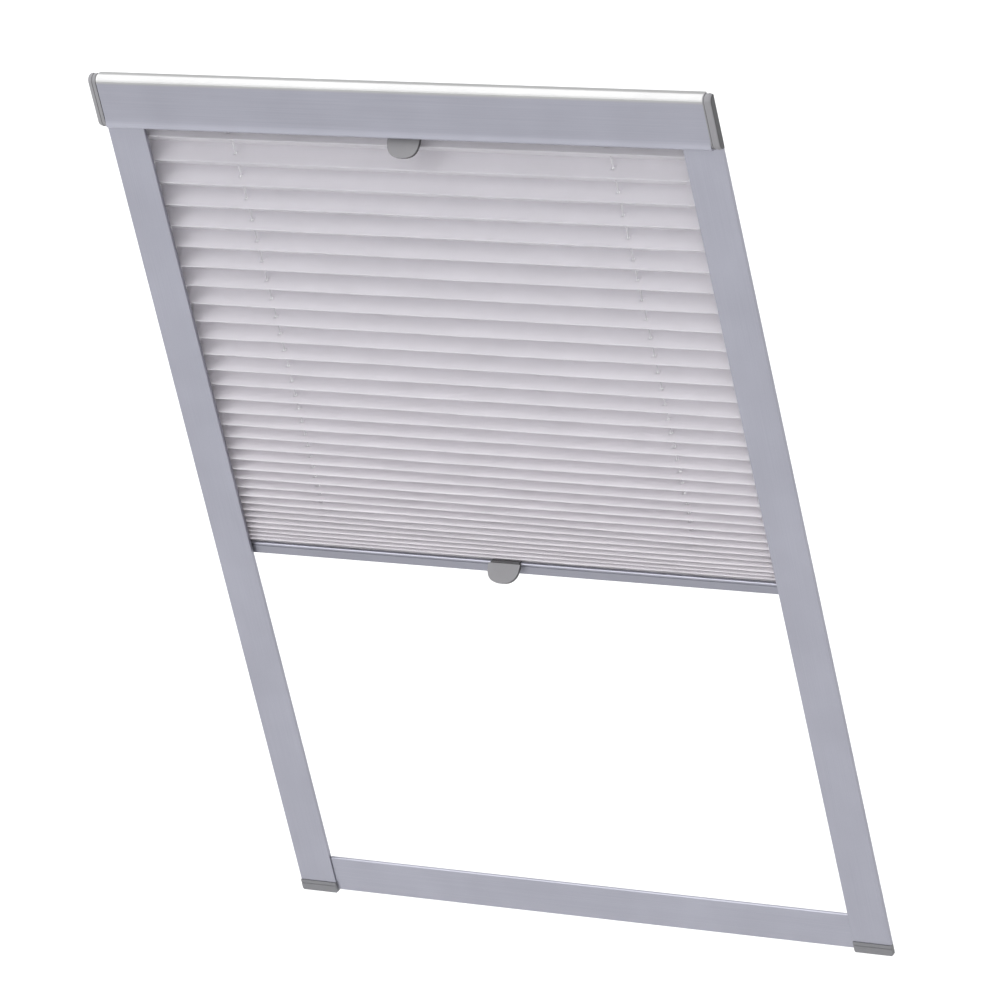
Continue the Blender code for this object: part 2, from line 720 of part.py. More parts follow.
# Pleated fabric: one thin folded sheet between the strips, with a hole in each panel per cord
def pleat_line():
    low = LOWER_BAR_Z + BAR_HEIGHT + GAP + CLOTH_THICK / 2
    high = UPPER_BAR_Z - GAP - CLOTH_THICK / 2
    first = high - FIRST_DROP
    last = low + LAST_RISE
    shares = [END_PITCH + (1 - END_PITCH) * (1 - i / (PLEATS - 2)) ** PITCH_POWER for i in range(PLEATS - 1)]
    scale = (first - last) / sum(shares)
    line = [(CORD_Y - TAB / 2, high), (CORD_Y + TAB / 2, high)]
    z = first
    pitches = [share * scale for share in shares]
    for i in range(PLEATS):
        near = [pitches[max(0, i - 1)], pitches[min(i, PLEATS - 2)]]
        pitch = sum(near) / 2
        depth = math.sqrt(PANEL * PANEL - pitch * pitch / 4)
        line.append((CORD_Y - depth / 2, z))
        if i < PLEATS - 1:
            depth = math.sqrt(PANEL * PANEL - pitches[i] ** 2 / 4)
            line.append((CORD_Y + depth / 2, z - pitches[i] / 2))
            z -= pitches[i]
    line += [(CORD_Y + TAB / 2, low), (CORD_Y - TAB / 2, low)]
    return line


def build_fabric():
    line = [Vector(p) for p in pleat_line()]
    half = HALF - BOX_WIDTH - CHANNEL_LEG - 0.0005
    thick = CLOTH_THICK / 2
    pairs = []
    for i, point in enumerate(line):
        before = (point - line[i - 1]).normalized() if i else None
        after = (line[i + 1] - point).normalized() if i + 1 < len(line) else None
        if before is None or after is None:
            along = after or before
            side = Vector((-along.y, along.x)) * thick
            pairs.append((point + side, point - side))
            continue
        bisector = (after - before).normalized()
        reach = thick / math.sqrt(max(1e-9, (1 + before.dot(after)) / 2))
        turn = before.x * after.y - before.y * after.x
        inner = point + bisector * reach
        outer = point - bisector * min(reach, 0.0004)
        pairs.append((inner, outer) if turn > 0 else (outer, inner))
    body = bmesh.new()
    grid = [[[body.verts.new((x, p.x, p.y)) for x in (-half, half)] for p in pair] for pair in pairs]
    for i in range(len(line) - 1):
        low, high = line[i], line[i + 1]
        length = (high - low).length
        crossing = (CORD_Y - low.x) / (high.x - low.x)
        loops = []
        for face in (0, 1):
            a, b = pairs[i][face], pairs[i + 1][face]
            outline = [grid[i][face][0], grid[i][face][1], grid[i + 1][face][1], grid[i + 1][face][0]]
            flat = [Vector((-half, 0, 0)), Vector((half, 0, 0)), Vector((half, length, 0))]
            flat.append(Vector((-half, length, 0)))
            polygons, corners, rings = [flat], list(outline), []
            for _, side in SIDES:
                shape = ring((side * CORD_X, crossing * length), 2 * HOLE_IN_R, 3, math.pi / 2)
                polygons.append([Vector((u, v, 0)) for u, v in shape])
                made = []
                for u, v in shape:
                    spot = a + (b - a) * (v / length)
                    made.append(body.verts.new((u, spot.x, spot.y)))
                corners += made
                rings.append(made)
            loops.append(rings)
            for triangle in tessellate_polygon(polygons):
                body.faces.new([corners[k] for k in triangle])
        for one, two in zip(*loops):
            for k in range(3):
                n = (k + 1) % 3
                body.faces.new((one[k], one[n], two[n], two[k]))
        for x in (0, 1):
            body.faces.new((grid[i][0][x], grid[i + 1][0][x], grid[i + 1][1][x], grid[i][1][x]))
    for end in (0, -1):
        body.faces.new((grid[end][0][0], grid[end][0][1], grid[end][1][1], grid[end][1][0]))
    bmesh.ops.recalc_face_normals(body, faces=list(body.faces))
    mesh = bpy.data.meshes.new("pleated_fabric")
    body.to_mesh(mesh)
    body.free()
    return finish("pleated_fabric", mesh, "cloth")


# Cords: ferrule, upper bar, down through the pleats, lower bar, down the channel to the foot
def build_cord(label, side):
    across_x = HALF - CORD_X
    upper = UPPER_BAR_Z + BAR_HEIGHT - CORD_DEPTH
    lower = LOWER_BAR_Z + CORD_DEPTH
    turns = ((CORD_INSET, upper), (across_x, upper), (across_x, lower), (CORD_INSET, lower))
    route = [(CORD_INSET, CORD_TOP), *turns, (CORD_INSET, CORD_FOOT)]
    points = [route[0]]
    for before, corner, after in zip(route, route[1:], route[2:]):
        b = (Vector(before) - Vector(corner)).normalized() * CORD_BEND
        a = (Vector(after) - Vector(corner)).normalized() * CORD_BEND
        centre = Vector(corner) + a + b
        for i in range(5):
            turn = math.pi / 2 * i / 4
            points.append(tuple(centre - a * math.cos(turn) - b * math.sin(turn)))
    points.append(route[-1])
    place = upright(side)
    return sweep("cord_" + label, [place(u, CORD_Y, v) for u, v in points], CORD_R, 6, "cord")


# Tension springs behind the cassette, each between its anchor and the ferrule on the cord's end
def build_spring(label, side):
    centre = side * (HALF - CORD_INSET)
    per_turn = 10
    count = SPRING_TURNS * per_turn
    points = [(0.0, 0.0, CORD_TOP + 0.0006), (0.0, 0.0, SPRING_LOW - 0.0012)]
    points.append((SPRING_R * 0.55, 0.0, SPRING_LOW - 0.0004))
    for i in range(count + 1):
        turn = 2 * math.pi * i / per_turn
        z = SPRING_LOW + (SPRING_HIGH - SPRING_LOW) * i / count
        points.append((SPRING_R * math.cos(turn), SPRING_R * math.sin(turn), z))
    points.append((SPRING_R * 0.55, 0.0, SPRING_HIGH + 0.0004))
    points += [(0.0, 0.0, SPRING_HIGH + 0.0012), (0.0, 0.0, ANCHOR_LOW + 0.004)]
    least = min(
        (Vector(p) - Vector(q)).length
        for i, p in enumerate(points)
        for q in points[i + 5 :]
    )
    print("spring", label, "least self gap mm", round((least - 2 * SPRING_WIRE) * 1000, 3))
    placed = [(centre + side * x, CORD_Y + y, z) for x, y, z in points]
    return sweep("tension_spring_" + label, placed, SPRING_WIRE, 6, "steel")


def build_anchor(label, side):
    (u0, u1), (v0, v1) = PLUG_SPAN, PLUG_DEPTH
    section = ((u0, v0), (u1, v0), (u1, v1), (u0, v1))
    place = upright(side)
    made = prism("cord_anchor_" + label, section, (ANCHOR_LOW, RAIL_TOP), place, "inner_plastic")
    bore = ring((CORD_INSET, CORD_Y), SPRING_WIRE + 0.0005, 6)
    span = (ANCHOR_LOW - 0.001, ANCHOR_LOW + 0.005)
    return combine(made, prism("tool", bore, span, place, "steel"), "DIFFERENCE")


def build_ferrule(label, side):
    outer = ring((CORD_INSET, CORD_Y), 0.0018, 10)
    bore = ring((CORD_INSET, CORD_Y), CORD_R + 0.0004, 10)
    return prism("cord_ferrule_" + label, outer, FERRULE, upright(side), "steel", [bore])


for label, side in SIDES:
    build_rail("side_rail_" + label, side)
    build_foot("rail_foot_" + label, side)
    build_corner(label, side)
    build_cap(label, side)
    build_mounting_bracket(label, side)
    build_screw("bracket_screw_" + label, side * BRACKET_X, BASE_WALL + 0.001)
    build_screw("base_screw_" + label, side * (HALF - BASE_SCREW_IN), FLANGE_BACK + 0.002)
    build_cord(label, side)
    build_spring(label, side)
    build_anchor(label, side)
    build_ferrule(label, side)
build_bottom_rail()
build_hood()
build_base()
build_bar("lower", LOWER_BAR_Z, True)
build_bar("upper", UPPER_BAR_Z, False)
build_fabric()
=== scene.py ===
import math
from collections import namedtuple

import bmesh
import bpy
import numpy as np
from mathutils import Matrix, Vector


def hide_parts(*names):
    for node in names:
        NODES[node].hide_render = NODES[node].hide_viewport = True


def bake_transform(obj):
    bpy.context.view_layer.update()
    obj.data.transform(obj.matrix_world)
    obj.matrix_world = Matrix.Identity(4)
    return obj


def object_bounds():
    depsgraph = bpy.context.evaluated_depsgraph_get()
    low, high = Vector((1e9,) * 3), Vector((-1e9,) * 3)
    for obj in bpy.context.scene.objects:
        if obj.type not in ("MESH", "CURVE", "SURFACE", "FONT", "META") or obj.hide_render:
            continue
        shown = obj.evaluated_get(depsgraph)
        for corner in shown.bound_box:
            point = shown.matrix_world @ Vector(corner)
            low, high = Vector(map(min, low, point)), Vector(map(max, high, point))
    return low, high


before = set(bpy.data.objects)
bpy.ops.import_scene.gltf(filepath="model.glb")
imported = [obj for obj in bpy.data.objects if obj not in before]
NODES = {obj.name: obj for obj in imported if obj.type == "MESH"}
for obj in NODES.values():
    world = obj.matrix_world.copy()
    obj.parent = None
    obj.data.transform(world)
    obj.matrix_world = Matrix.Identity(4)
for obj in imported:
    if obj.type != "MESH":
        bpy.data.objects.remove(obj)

CAD_BOX = [list(map(float, corner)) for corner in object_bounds()]

# Sizes repeated from the solids, in metres, counted from the rails' front and the feet's lowest edge
OFFSET = Vector((0.0, -0.0036, -0.0086))
HALF = 0.310
LOWER_BAR = (0.3548, 0.3648)
UPPER_BAR = (0.776, 0.786)
STRIP = 0.0012
SIDES = (("left", -1), ("right", 1))

# Folded sheet
FABRIC_HALF = 0.2865
PANEL = 0.020
PLEATS = 32
END_PITCH = 0.15
PITCH_POWER = 1.04
TAB = 0.009
FIRST_DROP = 0.00885
LAST_RISE = 0.00425
CLOTH = 0.0003
CLOTH_DRAWN = 0.00022

# Grid of the sheet: steps around each cord hole, and steps in from the folds of long and short panels
HOLE_R = 0.0011
HOLE_STEPS = (-0.0032, -0.0016, 0.0, 0.0016, 0.0032)
HOLE_CLEAR = 0.005
HOLE_MARGIN = 0.0006
COLUMN_STEPS = 62
LONG_PANEL = 0.014
LONG_STEPS = (0.0005, 0.0016, 0.0035)
SHORT_STEPS = (0.0004, 0.0010)

# Unevenness of the sheet: waves of the folds, bulge of the panels and curl of the free ends
FOLD_ROUND = 0.00016
WAVE_DEEP = 0.00030
WAVE_HIGH = 0.00022
BULGE = 0.00035
CURL = 0.0004
CURL_REACH = 0.03
DEEP_SEED = 1.0
HIGH_SEED = 7.7
BULGE_SEED = 3.3
HELD_FOLDS = (0.3, 1.8)

# Fold at the back, counted from the top, that stays still when a bar moves
STILL_FOLD = 8
FLAT_SHIFT = 0.4

# Cords
CORD_Y = 0.014
CORD_X = 0.616 * HALF
CORD_INSET = 0.019
CORD_DEPTH = 0.0042
CORD_TOP = 0.7931
CORD_FOOT = 0.018
CORD_R = 0.0005
CORD_SIDES = 10
CORD_BEND = 0.0025
BEND_STEPS = 6
TURN_EASE = 0.001
COLUMNS = [side * CORD_X for _, side in SIDES]

# Heights in the frame where a metal's colour gets a painted highlight, as start, end and gain: the hood's
# lower flare, its rounded top with a gain for each colour channel that makes it whiter, and the lower bar's
# top edge
HOOD_FLARE_PAINTED_HIGHLIGHT = (0.7752, 0.7790, 1.19)
HOOD_NOSE_PAINTED_HIGHLIGHT = (0.8125, 0.8150, (1.23, 1.22, 1.06))
BAR_EDGE_PAINTED_HIGHLIGHT = (0.3562, 0.3545, 1.5)

# Base colours, and the directions that the lower and the upper grip's faces point in; the grips' rims, which
# turn away from these, get painted shade
RAIL = (0.308, 0.309, 0.353)
BAR = 0.80
GRIP = (0.160, 0.157, 0.164)
LEAN_LOW = (0.0, -0.719, 0.695)
LEAN_HIGH = (0.0, -0.788, 0.616)

FLOOR_DROP = 0.30
FLOOR_REACH = 30


class Nodes:
    """A new material and short ways to add nodes to it."""

    def __init__(self, name):
        self.material = bpy.data.materials.new(name)
        self.material.use_nodes = True
        self.tree = self.material.node_tree
        self.shader = self.tree.nodes["Principled BSDF"]

    def add(self, kind, inputs=None, **settings):
        node = self.tree.nodes.new(kind)
        for key, value in settings.items():
            setattr(node, key, value)
        for key, value in (inputs or {}).items():
            if isinstance(value, bpy.types.NodeSocket):
                self.tree.links.new(value, node.inputs[key])
            else:
                node.inputs[key].default_value = value
        return node

    def place(self, kind="Object", scale=(1, 1, 1)):
        source = self.add("ShaderNodeTexCoord").outputs[kind]
        return self.add("ShaderNodeMapping", {"Vector": source, "Scale": scale}).outputs[0]

    def axis(self, index, kind="Object"):
        return self.add("ShaderNodeSeparateXYZ", {0: self.place(kind)}).outputs[index]

    def noise(self, vector, scale, detail=3.0, rough=0.5):
        inputs = {"Vector": vector, "Scale": scale, "Detail": detail, "Roughness": rough}
        return self.add("ShaderNodeTexNoise", inputs).outputs["Fac"]

    def wave(self, vector, scale, distortion, direction):
        inputs = {"Vector": vector, "Scale": scale, "Distortion": distortion}
        return self.add("ShaderNodeTexWave", inputs, bands_direction=direction).outputs["Fac"]

    def spread(self, value, low, high, start=0.3, end=0.7):
        inputs = {"Value": value, "From Min": start, "From Max": end, "To Min": low, "To Max": high}
        return self.add("ShaderNodeMapRange", inputs).outputs[0]

    def ramp(self, value, stops):
        node = self.add("ShaderNodeValToRGB", {"Fac": value})
        bar = node.color_ramp.elements
        for element, (at, colour) in zip(bar, stops):
            element.position = at
            element.color = (*colour, 1.0)
        return node.outputs["Color"]

    def join(self, a, b, kind="ADD"):
        return self.add("ShaderNodeMath", {0: a, 1: b}, operation=kind).outputs[0]

    def halved(self, a, b):
        return self.join(self.join(a, b), 0.5, "MULTIPLY")

    def tinted(self, a, b):
        return self.add("ShaderNodeVectorMath", {0: a, 1: b}, operation="MULTIPLY").outputs[0]

    def scaled(self, colour, gain):
        return self.add("ShaderNodeVectorMath", {0: colour, "Scale": gain}, operation="SCALE").outputs[0]

    def bump(self, height, strength, distance):
        inputs = {"Height": height, "Strength": strength, "Distance": distance}
        self.link("Normal", self.add("ShaderNodeBump", inputs).outputs[0])

    def link(self, name, socket):
        self.tree.links.new(socket, self.shader.inputs[name])

    def set(self, **values):
        for name, value in values.items():
            self.shader.inputs[name.replace("_", " ")].default_value = value


def shade(colour, factor):
    return tuple(c * factor for c in colour)


def metal(name, colour, along, roughness=0.42, metallic=0.85, highlight_band=None, nose_highlight=None):
    """Anodised or plated metal with fine drawing lines along one axis, and if asked painted highlights that
    brighten it past given heights.
    """
    n = Nodes(name)
    stretch = [2200.0, 2200.0, 2200.0]
    stretch["XYZ".index(along)] = 9.0
    lines = n.noise(n.place(scale=stretch), 1.0, 2.0)
    cloud = n.noise(n.place(), 14.0, 2.0)
    speck = n.noise(n.place(), 900.0, 3.0, 0.6)
    tone = n.ramp(n.halved(lines, cloud), ((0.35, shade(colour, 0.93)), (0.65, shade(colour, 1.06))))
    # Painted highlight: the colour is scaled up past a given height, blending in between start and end
    if highlight_band:
        start, end, gain = highlight_band
        tone = n.scaled(tone, n.spread(n.axis(2), gain, 1.0, start, end))
    # Painted highlight: past a given height the colour is made brighter and whiter, channel by channel
    if nose_highlight:
        start, end, tint = nose_highlight
        height = n.axis(2)
        highlight_gains = {index: n.spread(height, 1.0, gain, start, end) for index, gain in enumerate(tint)}
        tone = n.tinted(tone, n.add("ShaderNodeCombineXYZ", highlight_gains).outputs[0])
    n.link("Base Color", tone)
    n.link("Roughness", n.spread(n.halved(lines, speck), roughness - 0.06, roughness + 0.07))
    n.bump(lines, 0.12, 0.00003)
    n.set(Metallic=metallic)
    return n.material


def plastic(name, colour, roughness=0.5, edge=None):
    """Moulded plastic with a fine spark-eroded grain, and if asked a darker tone as painted shade on faces
    that turn away.
    """
    n = Nodes(name)
    fine = n.noise(n.place(), 2600.0, 2.0, 0.6)
    cloud = n.noise(n.place(), 60.0, 3.0)
    tone = n.ramp(cloud, ((0.3, shade(colour, 0.95)), (0.7, shade(colour, 1.04))))
    # Painted shade: the colour is darkened according to the share of a face's normal along the given
    # direction, between a start and an end
    if edge:
        facing, start, end, gain = edge
        normal = n.add("ShaderNodeTexCoord").outputs["Normal"]
        turned = n.add("ShaderNodeVectorMath", {0: normal, 1: facing}, operation="DOT_PRODUCT")
        painted_shade_facing = n.add("ShaderNodeMath", {0: turned.outputs["Value"]}, operation="ABSOLUTE").outputs[0]
        tone = n.scaled(tone, n.spread(painted_shade_facing, 1.0, gain, start, end))
    n.link("Base Color", tone)
    n.link("Roughness", n.spread(fine, roughness - 0.07, roughness + 0.08))
    n.bump(fine, 0.25, 0.00006)
    n.set(IOR=1.48)
    return n.material


def cloth(name, top, bottom):
    """Thin woven polyester that lets light through: two thread directions, slubs, a faint cloudiness, and
    painted light that makes it lighter from top to bottom.
    """
    n = Nodes(name)
    flat = n.place("UV")
    weave = n.join(n.wave(flat, 620.0, 0.6, "X"), n.wave(flat, 620.0, 0.6, "Y"), "MULTIPLY")
    slub = n.noise(n.place("UV", (20.0, 900.0, 1.0)), 1.0, 2.0)
    cloud = n.noise(flat, 22.0, 4.0, 0.6)
    uneven = n.join(cloud, n.join(slub, 0.35, "MULTIPLY"))
    tone = n.join(n.join(weave, 0.22, "MULTIPLY"), uneven)
    # Painted light: the colour runs from the top colour to a lighter bottom colour along the sheet, lifting
    # the shade of the dense lower folds
    base = n.ramp(n.spread(n.axis(1, "UV"), 0.0, 1.0, 0.1, 1.2), ((0.0, top), (1.0, bottom)))
    grey = n.ramp(tone, ((0.45, (0.965, 0.965, 0.965)), (0.95, (1.0, 1.0, 1.0))))
    weave_with_painted_light = n.tinted(base, grey)
    n.link("Base Color", weave_with_painted_light)
    n.bump(n.join(weave, n.join(slub, 0.4, "MULTIPLY")), 0.25, 0.00008)
    n.set(Roughness=0.85, Sheen_Weight=0.5, Sheen_Roughness=0.4, Specular_IOR_Level=0.25)
    glow = n.add("ShaderNodeBsdfTranslucent", {"Color": weave_with_painted_light})
    both = n.add("ShaderNodeMixShader", {0: 0.5, 1: n.shader.outputs[0], 2: glow.outputs[0]})
    n.tree.links.new(both.outputs[0], n.tree.nodes["Material Output"].inputs["Surface"])
    return n.material


def braid(name, colour):
    """Braided polyester cord, with its strands as slanting bands."""
    n = Nodes(name)
    turns = n.wave(n.place(), 700.0, 1.5, "Z")
    n.link("Base Color", n.ramp(turns, ((0.2, shade(colour, 0.8)), (0.8, colour))))
    n.bump(turns, 0.6, 0.0001)
    n.set(Roughness=0.8)
    return n.material


def paint(name, low, high):
    """Matt floor paint with a faint cloudiness."""
    n = Nodes(name)
    n.link("Base Color", n.ramp(n.noise(n.place(), 3.0), ((0.3, (low,) * 3), (0.7, (high,) * 3))))
    n.set(Roughness=0.9)
    return n.material


MATERIALS = {
    "rail": metal("rail_metal", RAIL, "Z"),
    # The hood takes the rails' colour darkened as painted shade, with painted highlights on its lower flare
    # and its rounded top
    "hood": metal("hood_metal_painted_light", shade(RAIL, 0.94), "X", 0.36, highlight_band=HOOD_FLARE_PAINTED_HIGHLIGHT, nose_highlight=HOOD_NOSE_PAINTED_HIGHLIGHT),
    "low_rail": metal("low_rail_metal", RAIL, "X", 0.40),
    # Painted highlight on the lower bar's top edge
    "low_bar": metal("low_bar_metal_painted_highlight", shade(RAIL, BAR), "X", highlight_band=BAR_EDGE_PAINTED_HIGHLIGHT),
    "high_bar": metal("high_bar_metal", shade(RAIL, BAR), "X"),
    "steel": metal("zinc_steel", (0.55, 0.55, 0.56), "X", 0.32, 1.0),
    # Painted shade on the cap's faces that point along X
    "cap": plastic("cap_plastic", (0.205, 0.202, 0.211), edge=((1, 0, 0), 0.25, 0.85, 0.3)),
    "foot": plastic("foot_plastic", (0.14, 0.14, 0.148)),
    # Painted shade on the grips' rims
    "grip_low": plastic("low_grip_plastic_painted_shade", GRIP, 0.45, edge=(LEAN_LOW, 0.93, 0.55, 0.35)),
    "grip_high": plastic("high_grip_plastic_painted_shade", GRIP, 0.45, edge=(LEAN_HIGH, 0.93, 0.55, 0.35)),
    "inner": plastic("inner_plastic", (0.07, 0.07, 0.075), 0.55),
    "strip": plastic("strip_plastic", (0.55, 0.55, 0.55)),
    # The cloth grows lighter towards its lower end as painted light
    "cloth": cloth("pleat_cloth", (0.715, 0.70, 0.727), (0.93, 0.912, 0.93)),
    "cord": braid("cord_braid", (0.62, 0.61, 0.63)),
}

# Material of each solid, by how its name starts; the first line that fits holds
WEAR = (
    ("side_rail", "rail"),
    ("cassette_hood", "hood"),
    ("cassette_base", "low_rail"),
    ("bottom_rail", "low_rail"),
    ("lower_bar_grip", "grip_low"),
    ("upper_bar_grip", "grip_high"),
    ("lower_bar_glider", "inner"),
    ("upper_bar_glider", "inner"),
    ("lower_bar", "low_bar"),
    ("upper_bar", "high_bar"),
    ("lower_fabric_strip", "strip"),
    ("upper_fabric_strip", "strip"),
    ("cassette_cap", "cap"),
    ("rail_foot", "foot"),
    ("cord_anchor", "inner"),
    ("", "steel"),
)


def dress(node, material):
    mesh = node.data
    if not mesh.materials:
        mesh.materials.append(material)
    for index in range(len(mesh.materials)):
        mesh.materials[index] = material
    for polygon in mesh.polygons:
        polygon.use_smooth = True
    mesh.set_sharp_from_angle(angle=math.radians(32))


for name, node in NODES.items():
    key = next(key for start, key in WEAR if name.startswith(start))
    dress(node, MATERIALS[key])


# Helpers for the pieces made here
def add_object(name, mesh):
    """Turns a bmesh into an object in the scene."""
    data = bpy.data.meshes.new(name)
    mesh.to_mesh(data)
    mesh.free()
    made = bpy.data.objects.new(name, data)
    bpy.context.scene.collection.objects.link(made)
    return made


def share(value, start, end):
    return min(1.0, max(0.0, (value - start) / (end - start)))


def even_blend(piece, weight):
    """Bakes a piece's placement into its mesh and works out a weight for each point's height; the weights
    are not used.
    """
    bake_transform(piece)
    values = np.array([weight(v.co.z - OFFSET.z) for v in piece.data.vertices], np.float32)


# Pleated fabric
Row = namedtuple("Row", "point panel along block normal bulge")


def pleat_line():
    """The folded line from upper to lower bar, as (y, z) points, with the flat tabs at its ends."""
    low = LOWER_BAR[1] + CLOTH
    high = UPPER_BAR[0] - CLOTH
    first = high - FIRST_DROP
    last = low + LAST_RISE
    steps = range(PLEATS - 1)
    shares = [END_PITCH + (1 - END_PITCH) * (1 - i / (PLEATS - 2)) ** PITCH_POWER for i in steps]
    pitches = [part * (first - last) / sum(shares) for part in shares]
    line = [(CORD_Y - TAB / 2, high), (CORD_Y + TAB / 2, high)]
    z = first
    for i in range(PLEATS):
        pitch = (pitches[max(0, i - 1)] + pitches[min(i, PLEATS - 2)]) / 2
        line.append((CORD_Y - math.sqrt(PANEL**2 - pitch**2 / 4) / 2, z))
        if i < PLEATS - 1:
            depth = math.sqrt(PANEL**2 - pitches[i] ** 2 / 4)
            line.append((CORD_Y + depth / 2, z - pitches[i] / 2))
            z -= pitches[i]
    return line + [(CORD_Y + TAB / 2, low), (CORD_Y - TAB / 2, low)]


def wobble(u, k, seed):
    """A smooth, small, repeatable unevenness along a fold, from -1 to 1."""
    a = math.sin(u * 17.0 + k * 2.4 + seed) + 0.6 * math.sin(u * 41.0 + k * 5.1 + seed * 2.0)
    return (a + 0.4 * math.sin(u * 89.0 + k * 1.3 + seed * 3.0)) / 2.0


def grid_columns():
    """Places across the sheet: even ones, and close ones around each cord."""
    plain = [-FABRIC_HALF + 2 * FABRIC_HALF * i / COLUMN_STEPS for i in range(COLUMN_STEPS + 1)]
    plain = [x for x in plain if all(abs(x - column) > HOLE_CLEAR for column in COLUMNS)]
    return sorted(plain + [column + step for column in COLUMNS for step in HOLE_STEPS])


def panel_rows(length):
    """Distances along a panel, and how many come before the block of four steps for the cord hole."""
    block = [length / 2 + step for step in HOLE_STEPS]
    ends = [d for d in (LONG_STEPS if length > LONG_PANEL else SHORT_STEPS) if d < block[0] - HOLE_MARGIN]
    return ends + block + [length - d for d in reversed(ends)], len(ends)


def grid_rows(line):
    """The sheet's rows down a stretch of the folded line, with the folds drawn in a little to round them."""
    points = [Vector((0.0, y, z)) for y, z in line]
    rows = []
    for i, (a, b) in enumerate(zip(points, points[1:])):
        length = (b - a).length
        along = (b - a) / length
        normal = Vector((0.0, -along.z, along.y))
        distances, block = panel_rows(length)
        if i == 0:
            rows.append(Row(a, i, 0.0, None, normal, 0.0))
        for k, d in enumerate(distances):
            rows.append(Row(a + along * d, i, d / length, k - block, normal, math.sin(math.pi * d / length)))
        if i == len(points) - 2:
            rows.append(Row(b, i, 1.0, None, normal, 0.0))
        else:
            inwards = ((points[i + 2] - b).normalized() - along).normalized()
            rows.append(Row(b + inwards * FOLD_ROUND, i, 1.0, None, -inwards, 0.0))
    return rows


def uneven(row, start, u):
    """How far a point of the sheet lies off its flat panel."""
    k = start + row.panel
    fold = abs(row.along * 2 - 1)
    nearest = round(k + row.along)
    curl = max(0.0, (abs(u) - FABRIC_HALF + CURL_REACH) / CURL_REACH) ** 2
    deep = WAVE_DEEP * wobble(u, nearest, DEEP_SEED) * fold
    high = WAVE_HIGH * wobble(u, nearest, HIGH_SEED) * fold
    high += CURL * curl * fold * math.sin(start + row.panel * 2.1)
    out = row.normal * (BULGE * row.bulge * (0.4 + wobble(u, k, BULGE_SEED)))
    held = share(min(k, 2 * PLEATS + 1 - k), *HELD_FOLDS)
    return (Vector((0.0, deep, high)) + out) * held


def punch(mesh, grid, flat, r, m):
    """Makes a round cord hole in the four by four block from row r around column m."""
    edge = [(r, m + d) for d in (-2, -1, 0, 1)] + [(r + d, m + 2) for d in (0, 1, 2, 3)]
    edge += [(r + 4, m + d) for d in (2, 1, 0, -1)] + [(r + d, m - 2) for d in (4, 3, 2, 1)]
    outer = [grid[a][b] for a, b in edge]
    centre = grid[r + 2][m]
    pu, pv = flat[centre]
    inner = []
    for vertex in outer:
        away = vertex.co - centre.co
        made = mesh.verts.new(centre.co + away.normalized() * HOLE_R)
        ou, ov = flat[vertex]
        scale = HOLE_R / away.length
        flat[made] = (pu + (ou - pu) * scale, pv + (ov - pv) * scale)
        inner.append(made)
    for k in range(len(outer)):
        n = (k + 1) % len(outer)
        mesh.faces.new((outer[k], outer[n], inner[n], inner[k]))
    return [grid[r + a][m + b] for a in (1, 2, 3) for b in (-1, 0, 1)]


def build_pleats(name, line, start):
    """A stretch of the folded sheet as a fine grid with round cord holes and rounded folds."""
    columns = grid_columns()
    middles = [columns.index(column) for column in COLUMNS]
    rows = grid_rows(line)
    mesh = bmesh.new()
    layer = mesh.loops.layers.uv.new("flat")
    grid, flat = [], {}
    travelled = start * PANEL
    previous = rows[0].point
    for row in rows:
        travelled += (row.point - previous).length
        previous = row.point
        grid.append([])
        for u in columns:
            vertex = mesh.verts.new(row.point + OFFSET + Vector((u, 0.0, 0.0)) + uneven(row, start, u))
            flat[vertex] = (u + FLAT_SHIFT, travelled)
            grid[-1].append(vertex)
    drop = []
    for r, row in enumerate(rows[:-1]):
        holed = row.block is not None and 0 <= row.block < 4
        for c in range(len(columns) - 1):
            if not (holed and any(m - 2 <= c < m + 2 for m in middles)):
                mesh.faces.new((grid[r][c], grid[r][c + 1], grid[r + 1][c + 1], grid[r + 1][c]))
    for r, row in enumerate(rows):
        if row.block == 0:
            for m in middles:
                drop += punch(mesh, grid, flat, r, m)
    for vertex in drop:
        mesh.verts.remove(vertex)
        del flat[vertex]
    for face in mesh.faces:
        face.smooth = True
        for loop in face.loops:
            loop[layer].uv = flat[loop.vert]
    bmesh.ops.recalc_face_normals(mesh, faces=list(mesh.faces))
    made = add_object(name, mesh)
    thick = made.modifiers.new("thickness", "SOLIDIFY")
    thick.thickness = CLOTH_DRAWN
    thick.offset = 0.0
    graph = bpy.context.evaluated_depsgraph_get()
    solid = bpy.data.meshes.new_from_object(made.evaluated_get(graph))
    made.modifiers.clear()
    made.data = solid
    solid.materials.clear()
    solid.materials.append(MATERIALS["cloth"])
    return made


# The sheet is drawn in two stretches that meet at the fold that stays still
LINE = pleat_line()
SPLIT = 2 * STILL_FOLD + 1
MID = LINE[SPLIT][1]

for part, line, start, bar_end in (
    ("upper", LINE[: SPLIT + 1], 0, UPPER_BAR[0] - STRIP),
    ("lower", LINE[SPLIT:], SPLIT, LOWER_BAR[1] + STRIP),
):
    pleats = build_pleats("pleats_" + part, line, start)
    even_blend(pleats, lambda z: share(z, MID, bar_end))
    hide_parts("pleated_fabric")


# Cords: each in an upper and a lower stretch that meet at the fabric's still fold
def rounded(route):
    """A route with square corners, its corners rounded."""
    points = [Vector(route[0])]
    for before, corner, after in zip(route, route[1:], route[2:]):
        corner = Vector(corner)
        b = (Vector(before) - corner).normalized() * CORD_BEND
        a = (Vector(after) - corner).normalized() * CORD_BEND
        for i in range(BEND_STEPS + 1):
            turn = math.pi / 2 * i / BEND_STEPS
            points.append(corner + a + b - a * math.cos(turn) - b * math.sin(turn))
    return points + [Vector(route[-1])]


